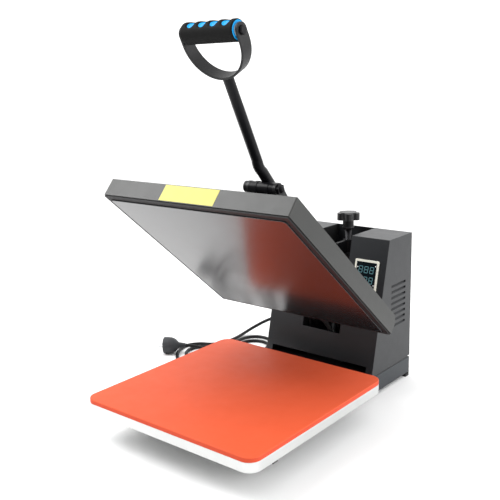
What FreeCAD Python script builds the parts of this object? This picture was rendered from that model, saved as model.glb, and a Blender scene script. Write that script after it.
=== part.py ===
import FreeCAD, Part
import math
import os

# A clamshell heat press. Millimetres, +Z up, +Y to the rear, +X to the user's right.
# The origin is on the bench under the middle of the machine, leaving the mains lead out.
# Everything is drawn as the press stands open; what rides on the arm is drawn closed and swung up.

V = FreeCAD.Vector

# ---- driving dimensions ----
PLATEN = 380.0              # both platens are squares of this side
WORK_Z = 80.0               # top of the silicone pad above the bench
PAD_T = 8.0
LOWER_T = 17.0
LOWER_R = 22.0              # corner radius of the lower platen and the pad
SHEET = 1.5                 # sheet steel of the tower and the cover
SCREW_HEAD = 2.4

TOWER_W = 260.6
TOWER_FRONT = 251.0         # pad centre to the foot of the tower's front face
TOWER_REAR = 403.0          # pad centre to the tower's back
TOWER_Z0 = 45.2
TOWER_Z1 = 306.9
FRONT_TILT = 13.6           # degrees that the front face leans back
NOTCH_HALF = 45.4
NOTCH_Z = 113.5
BASE_CUT_HALF = 115.0
BASE_CUT_Z = 62.0

PIVOT_REACH = 305.0         # pad centre to the arm pivot
PIVOT_Z = 130.0
OPEN_DEG = 41.08
KNEE_REACH = -52.2          # pad centre to the lever pivot with the press closed
KNEE_Z = 214.8
SCREW_REACH = 372.0         # pad centre to the pressure screw
TRUNNION_Z = 105.0
CRANK = 79.3
LEVER_DEG = 20.0            # how far the lever turns against the arm
SCREW_TRAVEL = 2.0          # up or down, one turn of the screw

CLOSED_GAP = 0.3            # air between heat plate and pad with the press closed
HEAT_T = 14.0
COVER = 402.0
COVER_Z0 = 4.9              # cover edge above the hot face
COVER_H = 32.5
COVER_CHAMFER = 11.0

RAIL_W = 30.0
RAIL_H = 35.0
RAIL_WALL = 2.0
RAIL_FRONT = -105.0         # pad centre to the rails' front ends
RAIL_REAR = 404.0
FOOT_H = 6.5
FOOT_L = 14.0
FRONT_FOOT_SET = 40.0       # the front feet stand this far back from the rails' ends
DECK_T = 6.0
DECK_HALF = 115.0

FIT = 0.05                  # running clearance on a radius
LOOSE = 0.3                 # clearance between parts that pass each other

ARM_IN = 27.0               # inner face of each arm plate
ARM_T = 6.0
PLATE_IN = 38.0             # inner face of each frame side plate
PLATE_T = 6.0
PIVOT_R = 8.0
KNEE_R = 6.0
EYE_R = 10.5                # oversize eye of the link on the trunnion pin
LINK_HALF = 8.0
ROD_R = 7.0

# ---- places worked out from them ----
REAR_REACH = TOWER_REAR + SHEET + SCREW_HEAD
PAD_Y = (PLATEN / 2 - REAR_REACH) / 2
PIVOT = (PAD_Y + PIVOT_REACH, PIVOT_Z)
KNEE = (PAD_Y + KNEE_REACH, KNEE_Z)
TRUNNION = (PAD_Y + SCREW_REACH, TRUNNION_Z)
REAR_Y = PAD_Y + TOWER_REAR
RAIL_TOP = FOOT_H + RAIL_H
DECK_TOP = RAIL_TOP + DECK_T
HOT_Z = WORK_Z + CLOSED_GAP
COVER_BOTTOM = HOT_Z + COVER_Z0
COVER_TOP = COVER_BOTTOM + COVER_H

PARTS = {}


def front_y(z):
    """The y of the tower's outer front face at height z."""
    return PAD_Y + TOWER_FRONT + (z - TOWER_Z0) * math.tan(math.radians(FRONT_TILT))


def box(x0, x1, y0, y1, z0, z1):
    return Part.makeBox(x1 - x0, y1 - y0, z1 - z0, V(x0, y0, z0))


def rounded(x0, x1, y0, y1, z0, z1, r):
    """A box whose upright edges are rounded."""
    solid = box(x0, x1, y0, y1, z0, z1)
    upright = [e for e in solid.Edges if abs(e.tangentAt(e.FirstParameter).z) > 0.9]
    return solid.makeFillet(r, upright)


def rod_x(y, z, r, x0, x1):
    return Part.makeCylinder(r, x1 - x0, V(x0, y, z), V(1, 0, 0))


def rod_z(x, y, r, z0, z1):
    return Part.makeCylinder(r, z1 - z0, V(x, y, z0), V(0, 0, 1))


def rod_y(x, z, r, y0, y1):
    return Part.makeCylinder(r, y1 - y0, V(x, y0, z), V(0, 1, 0))


def side_prism(points, x0, x1):
    """A side outline in (y, z) drawn out along X."""
    ring = [V(x0, y, z) for y, z in points]
    face = Part.Face(Part.makePolygon(ring + ring[:1]))
    return face.extrude(V(x1 - x0, 0, 0))


def bar(a, ra, b, rb, x0, x1):
    """A plate along X whose outline wraps two circles, ra round a and rb round b."""
    span = math.hypot(b[0] - a[0], b[1] - a[1])
    along = math.atan2(b[1] - a[1], b[0] - a[0])
    tilt = math.acos((ra - rb) / span)
    ends = []
    for side in (1, -1):
        for (y, z), r in ((a, ra), (b, rb)):
            turn = along + side * tilt
            ends.append(V(x0, y + r * math.cos(turn), z + r * math.sin(turn)))
    far = V(x0, b[0] + rb * math.cos(along), b[1] + rb * math.sin(along))
    near = V(x0, a[0] - ra * math.cos(along), a[1] - ra * math.sin(along))
    edges = [
        Part.LineSegment(ends[0], ends[1]).toShape(),
        Part.Arc(ends[1], far, ends[3]).toShape(),
        Part.LineSegment(ends[3], ends[2]).toShape(),
        Part.Arc(ends[2], near, ends[0]).toShape(),
    ]
    return Part.Face(Part.Wire(edges)).extrude(V(x1 - x0, 0, 0))


def hexagon(centre, axis, flats, length):
    """A hexagonal head or nut with its base at centre."""
    r = flats / math.sqrt(3)
    flat = [V(r * math.cos(math.radians(a)), r * math.sin(math.radians(a)), 0) for a in range(0, 360, 60)]
    solid = Part.Face(Part.makePolygon(flat + flat[:1])).extrude(V(0, 0, length))
    turn = FreeCAD.Rotation(V(0, 0, 1), V(*axis))
    solid.Placement = FreeCAD.Placement(V(*centre), turn)
    return solid


def joined(shapes):
    whole = shapes[0].multiFuse(shapes[1:]) if len(shapes) > 1 else shapes[0]
    return whole.removeSplitter()


def group(shapes):
    return Part.makeCompound(shapes)


def swing(shape):
    """Swings what rides on the arm from closed to open."""
    swung = shape.copy()
    swung.rotate(V(0, *PIVOT), V(1, 0, 0), -OPEN_DEG)
    return swung


def turned(point, centre, degrees):
    """A (y, z) point turned about another, positive as about +X."""
    a = math.radians(degrees)
    y, z = point[0] - centre[0], point[1] - centre[1]
    return (centre[0] + y * math.cos(a) - z * math.sin(a), centre[1] + y * math.sin(a) + z * math.cos(a))


def mirrored(shape):
    return shape.mirror(V(0, 0, 0), V(1, 0, 0))


def lead_tube(points, radius):
    """A round lead along straight runs joined by the largest arcs that they allow."""
    knots = [V(*p) for p in points]
    edges = []
    start = knots[0]
    radii = []
    for before, here, after in zip(knots, knots[1:], knots[2:]):
        a = (before - here).normalize()
        b = (after - here).normalize()
        half = (math.pi - a.getAngle(b)) / 2
        cut = 0.45 * min((before - here).Length, (after - here).Length)
        radii.append(cut / math.tan(half))
        middle = (a + b).normalize()
        hub = here + middle * (cut / math.sin(half) if half > 1e-6 else 0)
        inner = hub - middle * radii[-1]
        edges.append(Part.LineSegment(start, here + a * cut).toShape())
        edges.append(Part.Arc(here + a * cut, inner, here + b * cut).toShape())
        start = here + b * cut
    edges.append(Part.LineSegment(start, knots[-1]).toShape())
    path = Part.Wire(edges)
    circle = Part.Wire(Part.makeCircle(radius, knots[0], knots[1] - knots[0]))
    tube = path.makePipeShell([circle], True, True)
    tube = tube if tube.ShapeType == "Solid" else Part.Solid(tube)
    print("lead radii", [round(r) for r in radii], "length", round(path.Length))
    print("volume ratio", round(tube.Volume / (path.Length * math.pi * radius ** 2), 4))
    return tube


# ---- base ----
RAIL_OUT = TOWER_W / 2
RAIL_IN = RAIL_OUT - RAIL_W
CAP_T = 2.0
RAIL_Y0 = PAD_Y + RAIL_FRONT
RAIL_Y1 = PAD_Y + RAIL_REAR
CROSS_YS = (RAIL_Y0 + 36, RAIL_Y1 - 56)


def tube_y(x0, x1, y0, y1):
    outer = box(x0, x1, y0, y1, FOOT_H, RAIL_TOP)
    outer = outer.makeFillet(3.0, [e for e in outer.Edges if abs(e.tangentAt(e.FirstParameter).y) > 0.9])
    inner = box(x0 + RAIL_WALL, x1 - RAIL_WALL, y0, y1, FOOT_H + RAIL_WALL, RAIL_TOP - RAIL_WALL)
    return outer.cut(inner)


def base_parts():
    right = tube_y(RAIL_IN, RAIL_OUT, RAIL_Y0 + CAP_T, RAIL_Y1 - CAP_T)
    PARTS["base_rail_right"] = right
    PARTS["base_rail_left"] = mirrored(right)
    members = []
    for y in CROSS_YS:
        outer = box(-RAIL_IN, RAIL_IN, y, y + RAIL_W, FOOT_H, RAIL_TOP)
        inner = box(-RAIL_IN, RAIL_IN, y + RAIL_WALL, y + RAIL_W - RAIL_WALL, FOOT_H + RAIL_WALL,
                    RAIL_TOP - RAIL_WALL)
        members.append(outer.cut(inner))
    PARTS["cross_members"] = group(members)
    feet = []
    for side in (-1, 1):
        x0 = side * RAIL_IN if side > 0 else -RAIL_OUT
        for end, inward, back in ((RAIL_Y0, 1, FRONT_FOOT_SET), (RAIL_Y1, -1, 0.0)):
            ys = sorted((end, end + inward * CAP_T))
            plug = sorted((end + inward * CAP_T, end + inward * (CAP_T + 10)))
            plate = rounded(x0, x0 + RAIL_W, ys[0], ys[1], FOOT_H, RAIL_TOP, 0.8)
            wall = RAIL_WALL
            plug = box(x0 + wall, x0 + RAIL_W - wall, plug[0], plug[1], FOOT_H + wall, RAIL_TOP - wall)
            pad = sorted((end + inward * back, end + inward * (back + FOOT_L)))
            sole = rounded(x0, x0 + RAIL_W, pad[0], pad[1], 0, FOOT_H, 0.8)
            cap = joined([plate, plug])
            feet.extend([cap, sole] if back else [joined([cap, sole])])
    PARTS["rail_feet"] = group(feet)
    deck = rounded(-DECK_HALF, DECK_HALF, RAIL_Y0, REAR_Y - 5, RAIL_TOP, DECK_TOP, 6.0)
    for x, y in platen_posts():
        deck = deck.cut(rod_z(x, y, POST_BOLT_R + LOOSE, 0, DECK_TOP))
    PARTS["deck_plate"] = deck


# ---- lower platen ----
LOWER_Z1 = WORK_Z - PAD_T
LOWER_Z0 = LOWER_Z1 - LOWER_T
POST_R = 14.0
POST_BOLT_R = 4.0
POST_X = 80.0
POST_Y = 85.0


def platen_posts():
    return [(sx * POST_X, PAD_Y + sy * POST_Y) for sx in (-1, 1) for sy in (-1, 1)]


def lower_parts():
    half = PLATEN / 2
    plate = rounded(-half, half, PAD_Y - half, PAD_Y + half, LOWER_Z0, LOWER_Z1, LOWER_R)
    posts, bolts = [], []
    for x, y in platen_posts():
        plate = plate.cut(rod_z(x, y, POST_BOLT_R, LOWER_Z0, LOWER_Z0 + 10))
        post = rod_z(x, y, POST_R, DECK_TOP, LOWER_Z0)
        posts.append(post.cut(rod_z(x, y, POST_BOLT_R + LOOSE, DECK_TOP, LOWER_Z0)))
        shank = rod_z(x, y, POST_BOLT_R, RAIL_TOP, LOWER_Z0 + 10)
        bolts.append(joined([shank, hexagon((x, y, RAIL_TOP - 5.5), (0, 0, 1), 13.0, 5.5)]))
    PARTS["lower_platen"] = plate
    PARTS["platen_posts"] = group(posts)
    PARTS["platen_bolts"] = group(bolts)
    PARTS["silicone_pad"] = rounded(-half, half, PAD_Y - half, PAD_Y + half, LOWER_Z1, WORK_Z, LOWER_R)


# ---- tower housing ----
VENT_L = 57.0
VENT_H = 4.6
VENT_PITCH = 11.8
VENT_TOP = 211.0
VENTS = 8
ANGLE_T = 2.5               # the angles that carry the tower on the rails
ANGLE_SET = 8.0
VENT_Y0 = PAD_Y + 324.0
BEZEL_W = 53.0
BEZEL_H = 92.0
BEZEL_X = 88.4
BEZEL_TOP = 264.5
CASE_W = 48.0
CASE_H = 86.0
GLAND_AT = (-100.0, 75.0)
SWITCH_AT = (-90.0, 165.0)
FUSE_AT = (-90.0, 122.0)
SWITCH_W = 19.0
SWITCH_H = 28.0
FUSE_R = 6.5
GLAND_R = 7.0
SLOPE = SHEET / math.cos(math.radians(FRONT_TILT))


def on_face(shape):
    """Leans a piece drawn against the plane y = 0 back onto the tower's front face, at the bezel's top."""
    placed = shape.copy()
    placed.rotate(V(0, 0, 0), V(1, 0, 0), -FRONT_TILT)
    placed.translate(V(BEZEL_X, front_y(BEZEL_TOP), BEZEL_TOP))
    return placed


def inner_profile(z0):
    top = TOWER_Z1 - SHEET
    return [(front_y(z0) + SLOPE, z0), (front_y(top) + SLOPE, top), (REAR_Y, top), (REAR_Y, z0)]


def tower_parts():
    half = TOWER_W / 2
    outer = [(front_y(TOWER_Z0), TOWER_Z0), (front_y(TOWER_Z1), TOWER_Z1), (REAR_Y, TOWER_Z1),
             (REAR_Y, TOWER_Z0)]
    shell = side_prism(outer, -half, half)
    shell = shell.cut(side_prism(inner_profile(TOWER_Z0), -half + SHEET, half - SHEET))
    deep = front_y(TOWER_Z0) - 5
    shell = shell.cut(box(-NOTCH_HALF, NOTCH_HALF, deep, REAR_Y, NOTCH_Z, TOWER_Z1))
    shell = shell.cut(box(-BASE_CUT_HALF, BASE_CUT_HALF, deep, deep + 20, TOWER_Z0, BASE_CUT_Z))
    for row in range(VENTS):
        z = VENT_TOP - row * VENT_PITCH
        shell = shell.cut(box(-half, half, VENT_Y0, VENT_Y0 + VENT_L, z - VENT_H / 2, z + VENT_H / 2))
    drop = (BEZEL_H - CASE_H) / 2
    wide = CASE_W / 2 + LOOSE
    window = on_face(box(-wide, wide, -5, 5, -drop - CASE_H - LOOSE, -drop + LOOSE))
    PARTS["tower_shell"] = shell.cut(window)
    wall = side_prism(inner_profile(BASE_CUT_Z), NOTCH_HALF, NOTCH_HALF + SHEET)
    PARTS["channel_wall_right"] = wall
    PARTS["channel_wall_left"] = mirrored(wall)
    panel = box(-half, half, REAR_Y, REAR_Y + SHEET, TOWER_Z0, TOWER_Z1)
    panel = panel.cut(rod_y(*GLAND_AT, GLAND_R, REAR_Y, REAR_Y + SHEET))
    panel = panel.cut(rod_y(*FUSE_AT, FUSE_R, REAR_Y, REAR_Y + SHEET))
    x, z = SWITCH_AT
    panel = panel.cut(box(x - SWITCH_W / 2, x + SWITCH_W / 2, REAR_Y, REAR_Y + SHEET, z - SWITCH_H / 2,
                          z + SWITCH_H / 2))
    screws = []
    for sx in (-1, 1):
        for z in (TOWER_Z0 + 14, TOWER_Z0 + 128, TOWER_Z1 - 14):
            x = sx * (half - 9)
            head = rod_y(x, z, 4.0, REAR_Y + SHEET, REAR_Y + SHEET + SCREW_HEAD)
            head = head.makeFillet(1.2, [head.Edges[0]])
            panel = panel.cut(rod_y(x, z, 1.6, REAR_Y, REAR_Y + SHEET))
            screws.append(joined([head, rod_y(x, z, 1.5, REAR_Y - 6, REAR_Y + SHEET)]))
    PARTS["rear_panel"] = panel
    PARTS["panel_screws"] = group(screws)
    angle_y = (front_y(TOWER_Z0) + ANGLE_SET, REAR_Y - 3)
    inner = half - SHEET
    up = box(inner - ANGLE_T, inner, angle_y[0], angle_y[1], RAIL_TOP, BASE_CUT_Z)
    flange = box(DECK_HALF + 1, inner, angle_y[0], angle_y[1], RAIL_TOP, RAIL_TOP + ANGLE_T)
    angle = joined([up, flange])
    PARTS["shell_brackets"] = group([angle, mirrored(angle)])


# ---- inner frame ----
PLATE_FRONT = 15.0          # behind the tower's front face
PLATE_TOP = 262.0
BRIDGE_Z = 244.0
BRIDGE_T = 14.0
BRIDGE_HALF = 22.0
WEB_TOP = 283.5
WEB_REACH = 47.0
PIN_OUT = PLATE_IN + PLATE_T


def frame_parts():
    y, z = TRUNNION
    rear = REAR_Y - 7
    outline = [(front_y(DECK_TOP) + PLATE_FRONT + 14, DECK_TOP), (rear, DECK_TOP), (rear, PLATE_TOP),
               (y - BRIDGE_HALF - 6, PLATE_TOP), (front_y(PIVOT_Z + 28) + PLATE_FRONT, PIVOT_Z + 28)]
    plate = side_prism(outline, PLATE_IN, PIN_OUT)
    plate = plate.cut(rod_x(*PIVOT, PIVOT_R, PLATE_IN, PIN_OUT))
    slot_r = KNEE_R + LOOSE
    reach = SCREW_TRAVEL + LOOSE
    plate = plate.cut(bar((y, z - reach), slot_r, (y, z + reach), slot_r, PLATE_IN, PIN_OUT))
    PARTS["side_plate_right"] = plate
    PARTS["side_plate_left"] = mirrored(plate)
    bridge = box(-PLATE_IN, PLATE_IN, y - BRIDGE_HALF, y + BRIDGE_HALF, BRIDGE_Z, BRIDGE_Z + BRIDGE_T)
    top = BRIDGE_Z + BRIDGE_T
    web = box(-3, 3, y - WEB_REACH, y + BRIDGE_HALF, top, WEB_TOP)
    front = y - BRIDGE_HALF
    prop = side_prism([(y - WEB_REACH, top), (front, top - BRIDGE_T), (front, top)], -3, 3)
    boss = rod_z(0, y, 11.0, top, WEB_TOP)
    PARTS["screw_bridge"] = joined([bridge, web, prop, boss]).cut(rod_z(0, y, ROD_R + FIT, BRIDGE_Z, WEB_TOP))
    bolts = []
    for side in (-1, 1):
        inward = (side, 0, 0)
        head = hexagon((side * (ARM_IN - 8.0), *PIVOT), inward, 21.0, 8.0 - LOOSE)
        xs = sorted((side * (ARM_IN - LOOSE), side * PIN_OUT))
        bolts.append(joined([head, rod_x(*PIVOT, PIVOT_R, xs[0], xs[1])]))
    PARTS["arm_pivot_bolts"] = group(bolts)
    anchor = box(-ARM_IN - 6, ARM_IN + 6, SPRING_Y - 7, SPRING_Y + 7, DECK_TOP, SPRING_Z0)
    lengthwise = [e for e in anchor.Edges if abs(e.tangentAt(0).x) > 0.9]
    PARTS["spring_anchor"] = anchor.makeFillet(3.0, lengthwise[:2])


# ---- return springs and the arm's tail ----
TAIL = (PIVOT[0] + 45.0, PIVOT[1] + 12.0)
TAIL_R = 11.0
SPRING_X = 21.5
SPRING_R = 5.2
SPRING_Z0 = DECK_TOP + 12.0
HOOK_R = 3.5
TAIL_OPEN = turned(TAIL, PIVOT, -OPEN_DEG)
SPRING_Y = TAIL_OPEN[0]


def spring_parts():
    top = TAIL_OPEN[1] - HOOK_R
    springs = [rod_z(sx * SPRING_X, SPRING_Y, SPRING_R, SPRING_Z0, top) for sx in (-1, 1)]
    PARTS["return_springs"] = group(springs)


# ---- arm ----
ARM_OUT = ARM_IN + ARM_T
ARM_PIVOT_R = 20.0
ARM_KNEE_R = 11.5
KNEE_HEAD_R = 10.5
BRACKET_T = 6.0
BRACKET_TOP = COVER_TOP + BRACKET_T
BRACKET_HALF = 62.0
TIES = ((PAD_Y - 2.0, BRACKET_TOP + 14), (PAD_Y + 148.0, BRACKET_TOP + 14))
TIE_R = 7.0
STUD_X = 46.0
STUD_Y = 80.0
STUD_R = 5.0
SLEEVE_R = 8.0


def studs():
    return [(sx * STUD_X, PAD_Y + sy * STUD_Y) for sx in (-1, 1) for sy in (-1, 1)]


def arm_parts():
    foot = [(PAD_Y - 12, BRACKET_TOP), (PAD_Y + 188, BRACKET_TOP), (PAD_Y + 218, PIVOT_Z + 20),
            (KNEE[0] + 10, KNEE[1] - 3)]
    hook = rod_x(*TAIL, HOOK_R, SPRING_X - SPRING_R + 1, ARM_OUT)
    plate = joined([bar(PIVOT, ARM_PIVOT_R, KNEE, ARM_KNEE_R, ARM_IN, ARM_OUT),
                    bar(PIVOT, ARM_PIVOT_R, TAIL, TAIL_R, ARM_IN, ARM_OUT),
                    side_prism(foot, ARM_IN, ARM_OUT), hook])
    plate = plate.cut(rod_x(*PIVOT, PIVOT_R + FIT, ARM_IN, ARM_OUT))
    plate = plate.cut(rod_x(*KNEE, KNEE_R, ARM_IN, ARM_OUT))
    PARTS["arm_right"] = swing(plate)
    PARTS["arm_left"] = swing(mirrored(plate))
    PARTS["arm_ties"] = swing(group([rod_x(*tie, TIE_R, -ARM_IN, ARM_IN) for tie in TIES]))
    bracket = rounded(-BRACKET_HALF, BRACKET_HALF, PAD_Y - 120, PAD_Y + 188, COVER_TOP, BRACKET_TOP, 10.0)
    rods = []
    for x, y in studs():
        bracket = bracket.cut(rod_z(x, y, STUD_R + LOOSE, COVER_TOP, BRACKET_TOP))
        stud = rod_z(x, y, STUD_R, HOT_Z + HEAT_T - 8, BRACKET_TOP + 13)
        rods.append(joined([stud, hexagon((x, y, BRACKET_TOP), (0, 0, 1), 17.0, 8.0)]))
        sleeve = rod_z(x, y, SLEEVE_R, HOT_Z + HEAT_T, COVER_TOP - SHEET)
        rods.append(sleeve.cut(rod_z(x, y, STUD_R + LOOSE, HOT_Z, COVER_TOP)))
    PARTS["platen_bracket"] = swing(bracket)
    PARTS["platen_studs"] = swing(group(rods))
    nut = hexagon((ARM_OUT, *KNEE), (1, 0, 0), 17.0, 6.0)
    dome = Part.makeSphere(6.5, V(ARM_OUT + 4.5, *KNEE))
    head = rod_x(*KNEE, KNEE_HEAD_R, -ARM_OUT - 7.0, -ARM_OUT)
    bolt = rod_x(*KNEE, KNEE_R, -ARM_OUT, ARM_OUT)
    PARTS["lever_pivot_bolt"] = swing(joined([bolt, nut, dome, head]))


# ---- heated platen ----
ELEMENT_R = 4.0
ELEMENT_XS = (-160.0, -100.0, -20.0, 20.0, 100.0, 160.0)
SEAL_IN = PLATEN / 2 + LOOSE
SEAL_OUT = COVER / 2 - SHEET - 0.2
CONDUIT_X = 17.5
CONDUIT_R = 4.5
CONDUIT_Z = COVER_BOTTOM + 18.0
LABEL_W = 119.0
LABEL_H = 30.0
LABEL_T = 0.3
PROBE_R = 4.0
PROBE_H = 7.0


def heater_path():
    """The element's serpentine: straight legs joined by half circles at alternate ends."""
    z = HOT_Z + HEAT_T + ELEMENT_R
    ends = (PAD_Y - 140, PAD_Y + 140)
    edges = []
    for i, x in enumerate(ELEMENT_XS):
        y0, y1 = ends if i % 2 == 0 else ends[::-1]
        edges.append(Part.LineSegment(V(x, y0, z), V(x, y1, z)).toShape())
        if i < len(ELEMENT_XS) - 1:
            r = (ELEMENT_XS[i + 1] - x) / 2
            bow = r if y1 > y0 else -r
            edges.append(Part.Arc(V(x, y1, z), V(x + r, y1 + bow, z), V(x + 2 * r, y1, z)).toShape())
    return Part.Wire(edges)


def heated_parts():
    half = PLATEN / 2
    plate = rounded(-half, half, PAD_Y - half, PAD_Y + half, HOT_Z, HOT_Z + HEAT_T, 6.0)
    side = half - 6
    wool_z0 = HOT_Z + HEAT_T + 2 * ELEMENT_R + LOOSE
    wool = box(-side, side, PAD_Y - side, PAD_Y + side, wool_z0, COVER_TOP - SHEET - LOOSE)
    out = COVER / 2
    cover = box(-out, out, PAD_Y - out, PAD_Y + out, COVER_BOTTOM, COVER_TOP)
    back = [e for e in cover.Edges
            if e.BoundBox.YMin > PAD_Y + out - 1 and e.BoundBox.ZMin > COVER_TOP - 1]
    cover = cover.makeChamfer(COVER_CHAMFER, back)
    corners = [e for e in cover.Edges if abs(e.tangentAt(e.FirstParameter).z) > 0.99]
    cover = cover.makeFillet(2.0, corners)
    slope = SHEET * math.tan(math.radians(22.5))
    top = COVER_TOP - SHEET
    rear = PAD_Y + out - SHEET
    cut = COVER_CHAMFER - SHEET + slope
    hollow = [(PAD_Y - out + SHEET, COVER_BOTTOM), (rear, COVER_BOTTOM), (rear, top - cut), (rear - cut, top),
              (PAD_Y - out + SHEET, top)]
    cover = cover.cut(side_prism(hollow, -out + SHEET, out - SHEET))
    cover = cover.cut(rod_y(CONDUIT_X, CONDUIT_Z, CONDUIT_R + 1.5, rear - 2, rear + 5))
    for x, y in studs():
        plate = plate.cut(rod_z(x, y, STUD_R, HOT_Z + HEAT_T - 8, HOT_Z + HEAT_T))
        wool = wool.cut(rod_z(x, y, SLEEVE_R + LOOSE, HOT_Z, COVER_TOP))
        cover = cover.cut(rod_z(x, y, STUD_R + LOOSE, COVER_BOTTOM, COVER_TOP))
    path = heater_path()
    first = ELEMENT_XS[0]
    entry = V(first, PAD_Y - 140, HOT_Z + HEAT_T + ELEMENT_R)
    ring = Part.Wire(Part.makeCircle(ELEMENT_R, entry, V(0, 1, 0)))
    PARTS["heat_plate"] = swing(plate)
    PARTS["heater_element"] = swing(path.makePipeShell([ring], True, True))
    PARTS["insulation_sheet"] = swing(wool)
    PARTS["upper_cover"] = swing(cover)
    seal = box(-SEAL_OUT, SEAL_OUT, PAD_Y - SEAL_OUT, PAD_Y + SEAL_OUT, HOT_Z + 2, HOT_Z + 11)
    inside = box(-SEAL_IN, SEAL_IN, PAD_Y - SEAL_IN, PAD_Y + SEAL_IN, HOT_Z, HOT_Z + 20)
    PARTS["edge_seal"] = swing(seal.cut(inside))
    middle = (COVER_BOTTOM + COVER_TOP) / 2
    label = box(-6 - LABEL_W / 2, -6 + LABEL_W / 2, PAD_Y - out - LABEL_T, PAD_Y - out, middle - LABEL_H / 2,
                middle + LABEL_H / 2)
    PARTS["cover_label"] = swing(label)
    PARTS["temperature_probe"] = swing(rod_z(0, PAD_Y, PROBE_R, HOT_Z + HEAT_T, HOT_Z + HEAT_T + PROBE_H))


# ---- toggle lever ----
KNEE_OPEN = turned(KNEE, PIVOT, -OPEN_DEG)
REACH = math.hypot(TRUNNION[0] - KNEE[0], TRUNNION[1] - KNEE[1])
CRANK_SHARE = CRANK / REACH
CRANK_SHUT = tuple(k + CRANK_SHARE * (t - k) for k, t in zip(KNEE, TRUNNION))
CRANK_PIN = turned(turned(CRANK_SHUT, KNEE, -LEVER_DEG), PIVOT, -OPEN_DEG)
CHEEK_IN = 10.0
CHEEK_T = 6.0
SLEEVE_OUT = 11.0
TUBE_R = 10.0
TUBE_BORE = 8.0
UPPER_LEAN = 26.2           # degrees that the tube and the grip lean forward of upright
LOWER_LEAN = 41.0
TUBE_FOOT = (KNEE_OPEN[0] + 20.0, KNEE_OPEN[1] + 2.0)
LOWER_RUN = 49.0
UPPER_RUN = 173.5
BEND_R = 90.0
LINK_NEAR_R = 13.0          # boss on the crank pin
LINK_FAR_R = 17.0           # boss on the trunnion pin
LINK_BAR_R = 9.0
CHEEK_KNEE_R = 12.0
CHEEK_CRANK_R = 14.0
PIN_HEAD_R = 9.0
PIN_HEAD_T = 4.0


def along(start, lean, run):
    """A (y, z) point a run up from another, leaning forward by an angle."""
    a = math.radians(lean)
    return (start[0] - run * math.sin(a), start[1] + run * math.cos(a))


TUBE_BEND = along(TUBE_FOOT, LOWER_LEAN, LOWER_RUN)
GRIP_FOOT = along(TUBE_BEND, UPPER_LEAN, UPPER_RUN)


def tube_path():
    half = math.radians(LOWER_LEAN - UPPER_LEAN) / 2
    cut = BEND_R * math.tan(half)
    below = along(TUBE_BEND, LOWER_LEAN, -cut)
    above = along(TUBE_BEND, UPPER_LEAN, cut)
    lean = (LOWER_LEAN + UPPER_LEAN) / 2
    sag = BEND_R / math.cos(half) - BEND_R
    mid = along(TUBE_BEND, lean + 90, sag)
    points = [V(0, *p) for p in (TUBE_FOOT, below, mid, above, GRIP_FOOT)]
    edges = [Part.LineSegment(points[0], points[1]).toShape(), Part.Arc(*points[1:4]).toShape(),
             Part.LineSegment(points[3], points[4]).toShape()]
    return Part.Wire(edges)


def lever_parts():
    path = tube_path()
    aim = V(0, *TUBE_BEND) - V(0, *TUBE_FOOT)
    skins = [path.makePipeShell([Part.Wire(Part.makeCircle(r, V(0, *TUBE_FOOT), aim))], True, True)
             for r in (TUBE_R, TUBE_BORE)]
    tube = skins[0].cut(skins[1])
    tube = tube.cut(rod_x(*KNEE_OPEN, SLEEVE_OUT, -TUBE_R, TUBE_R))
    strap_side = Part.makeCylinder(STRAP_R, 4 * STRAP_HALF, V(0, -2 * STRAP_HALF, STRAP_R), V(0, 1, 0))
    tube = tube.cut(on_lever(strap_side))
    PARTS["handle_tube"] = max(tube.Solids, key=lambda s: s.Volume)
    reach = ARM_IN - LOOSE
    sleeve = rod_x(*KNEE_OPEN, SLEEVE_OUT, -reach, reach)
    out = CHEEK_IN + CHEEK_T
    cheek = bar(KNEE_OPEN, CHEEK_KNEE_R, CRANK_PIN, CHEEK_CRANK_R, CHEEK_IN, out)
    cheek = cheek.cut(rod_x(*CRANK_PIN, KNEE_R, CHEEK_IN, out))
    fork = joined([sleeve, cheek, mirrored(cheek)])
    PARTS["lever_fork"] = fork.cut(rod_x(*KNEE_OPEN, KNEE_R + FIT, -reach, reach))
    pin = rod_x(*CRANK_PIN, KNEE_R, -out, out)
    caps = [rod_x(*CRANK_PIN, PIN_HEAD_R, out, out + PIN_HEAD_T),
            rod_x(*CRANK_PIN, PIN_HEAD_R, -out - PIN_HEAD_T, -out)]
    PARTS["crank_pin"] = joined([pin] + caps)
    link = joined([rod_x(*CRANK_PIN, LINK_NEAR_R, -LINK_HALF, LINK_HALF),
                   rod_x(*TRUNNION, LINK_FAR_R, -LINK_HALF, LINK_HALF),
                   bar(CRANK_PIN, LINK_BAR_R, TRUNNION, LINK_BAR_R, -LINK_HALF, LINK_HALF)])
    link = link.cut(rod_x(*CRANK_PIN, KNEE_R + FIT, -LINK_HALF, LINK_HALF))
    PARTS["toggle_link"] = link.cut(rod_x(*TRUNNION, EYE_R, -LINK_HALF, LINK_HALF))


# ---- D grip ----
STRAP_R = 62.0
STRAP_T = 4.0
STRAP_HALF = 12.5
GRIP_RISE = 78.0            # strap's foot to the grip's axis
FOAM_R = 17.8
CORE_R = 14.0
FOAM_HALF = 55.5
SCALLOPS = 4
SCALLOP_PITCH = 24.6
SCALLOP_R = 12.0
GRIP_BOLT_R = 4.0


def on_lever(shape):
    """Leans a piece drawn upright over the origin onto the top of the handle tube."""
    placed = shape.copy()
    placed.rotate(V(0, 0, 0), V(1, 0, 0), UPPER_LEAN)
    placed.translate(V(0, *GRIP_FOOT))
    return placed


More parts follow.
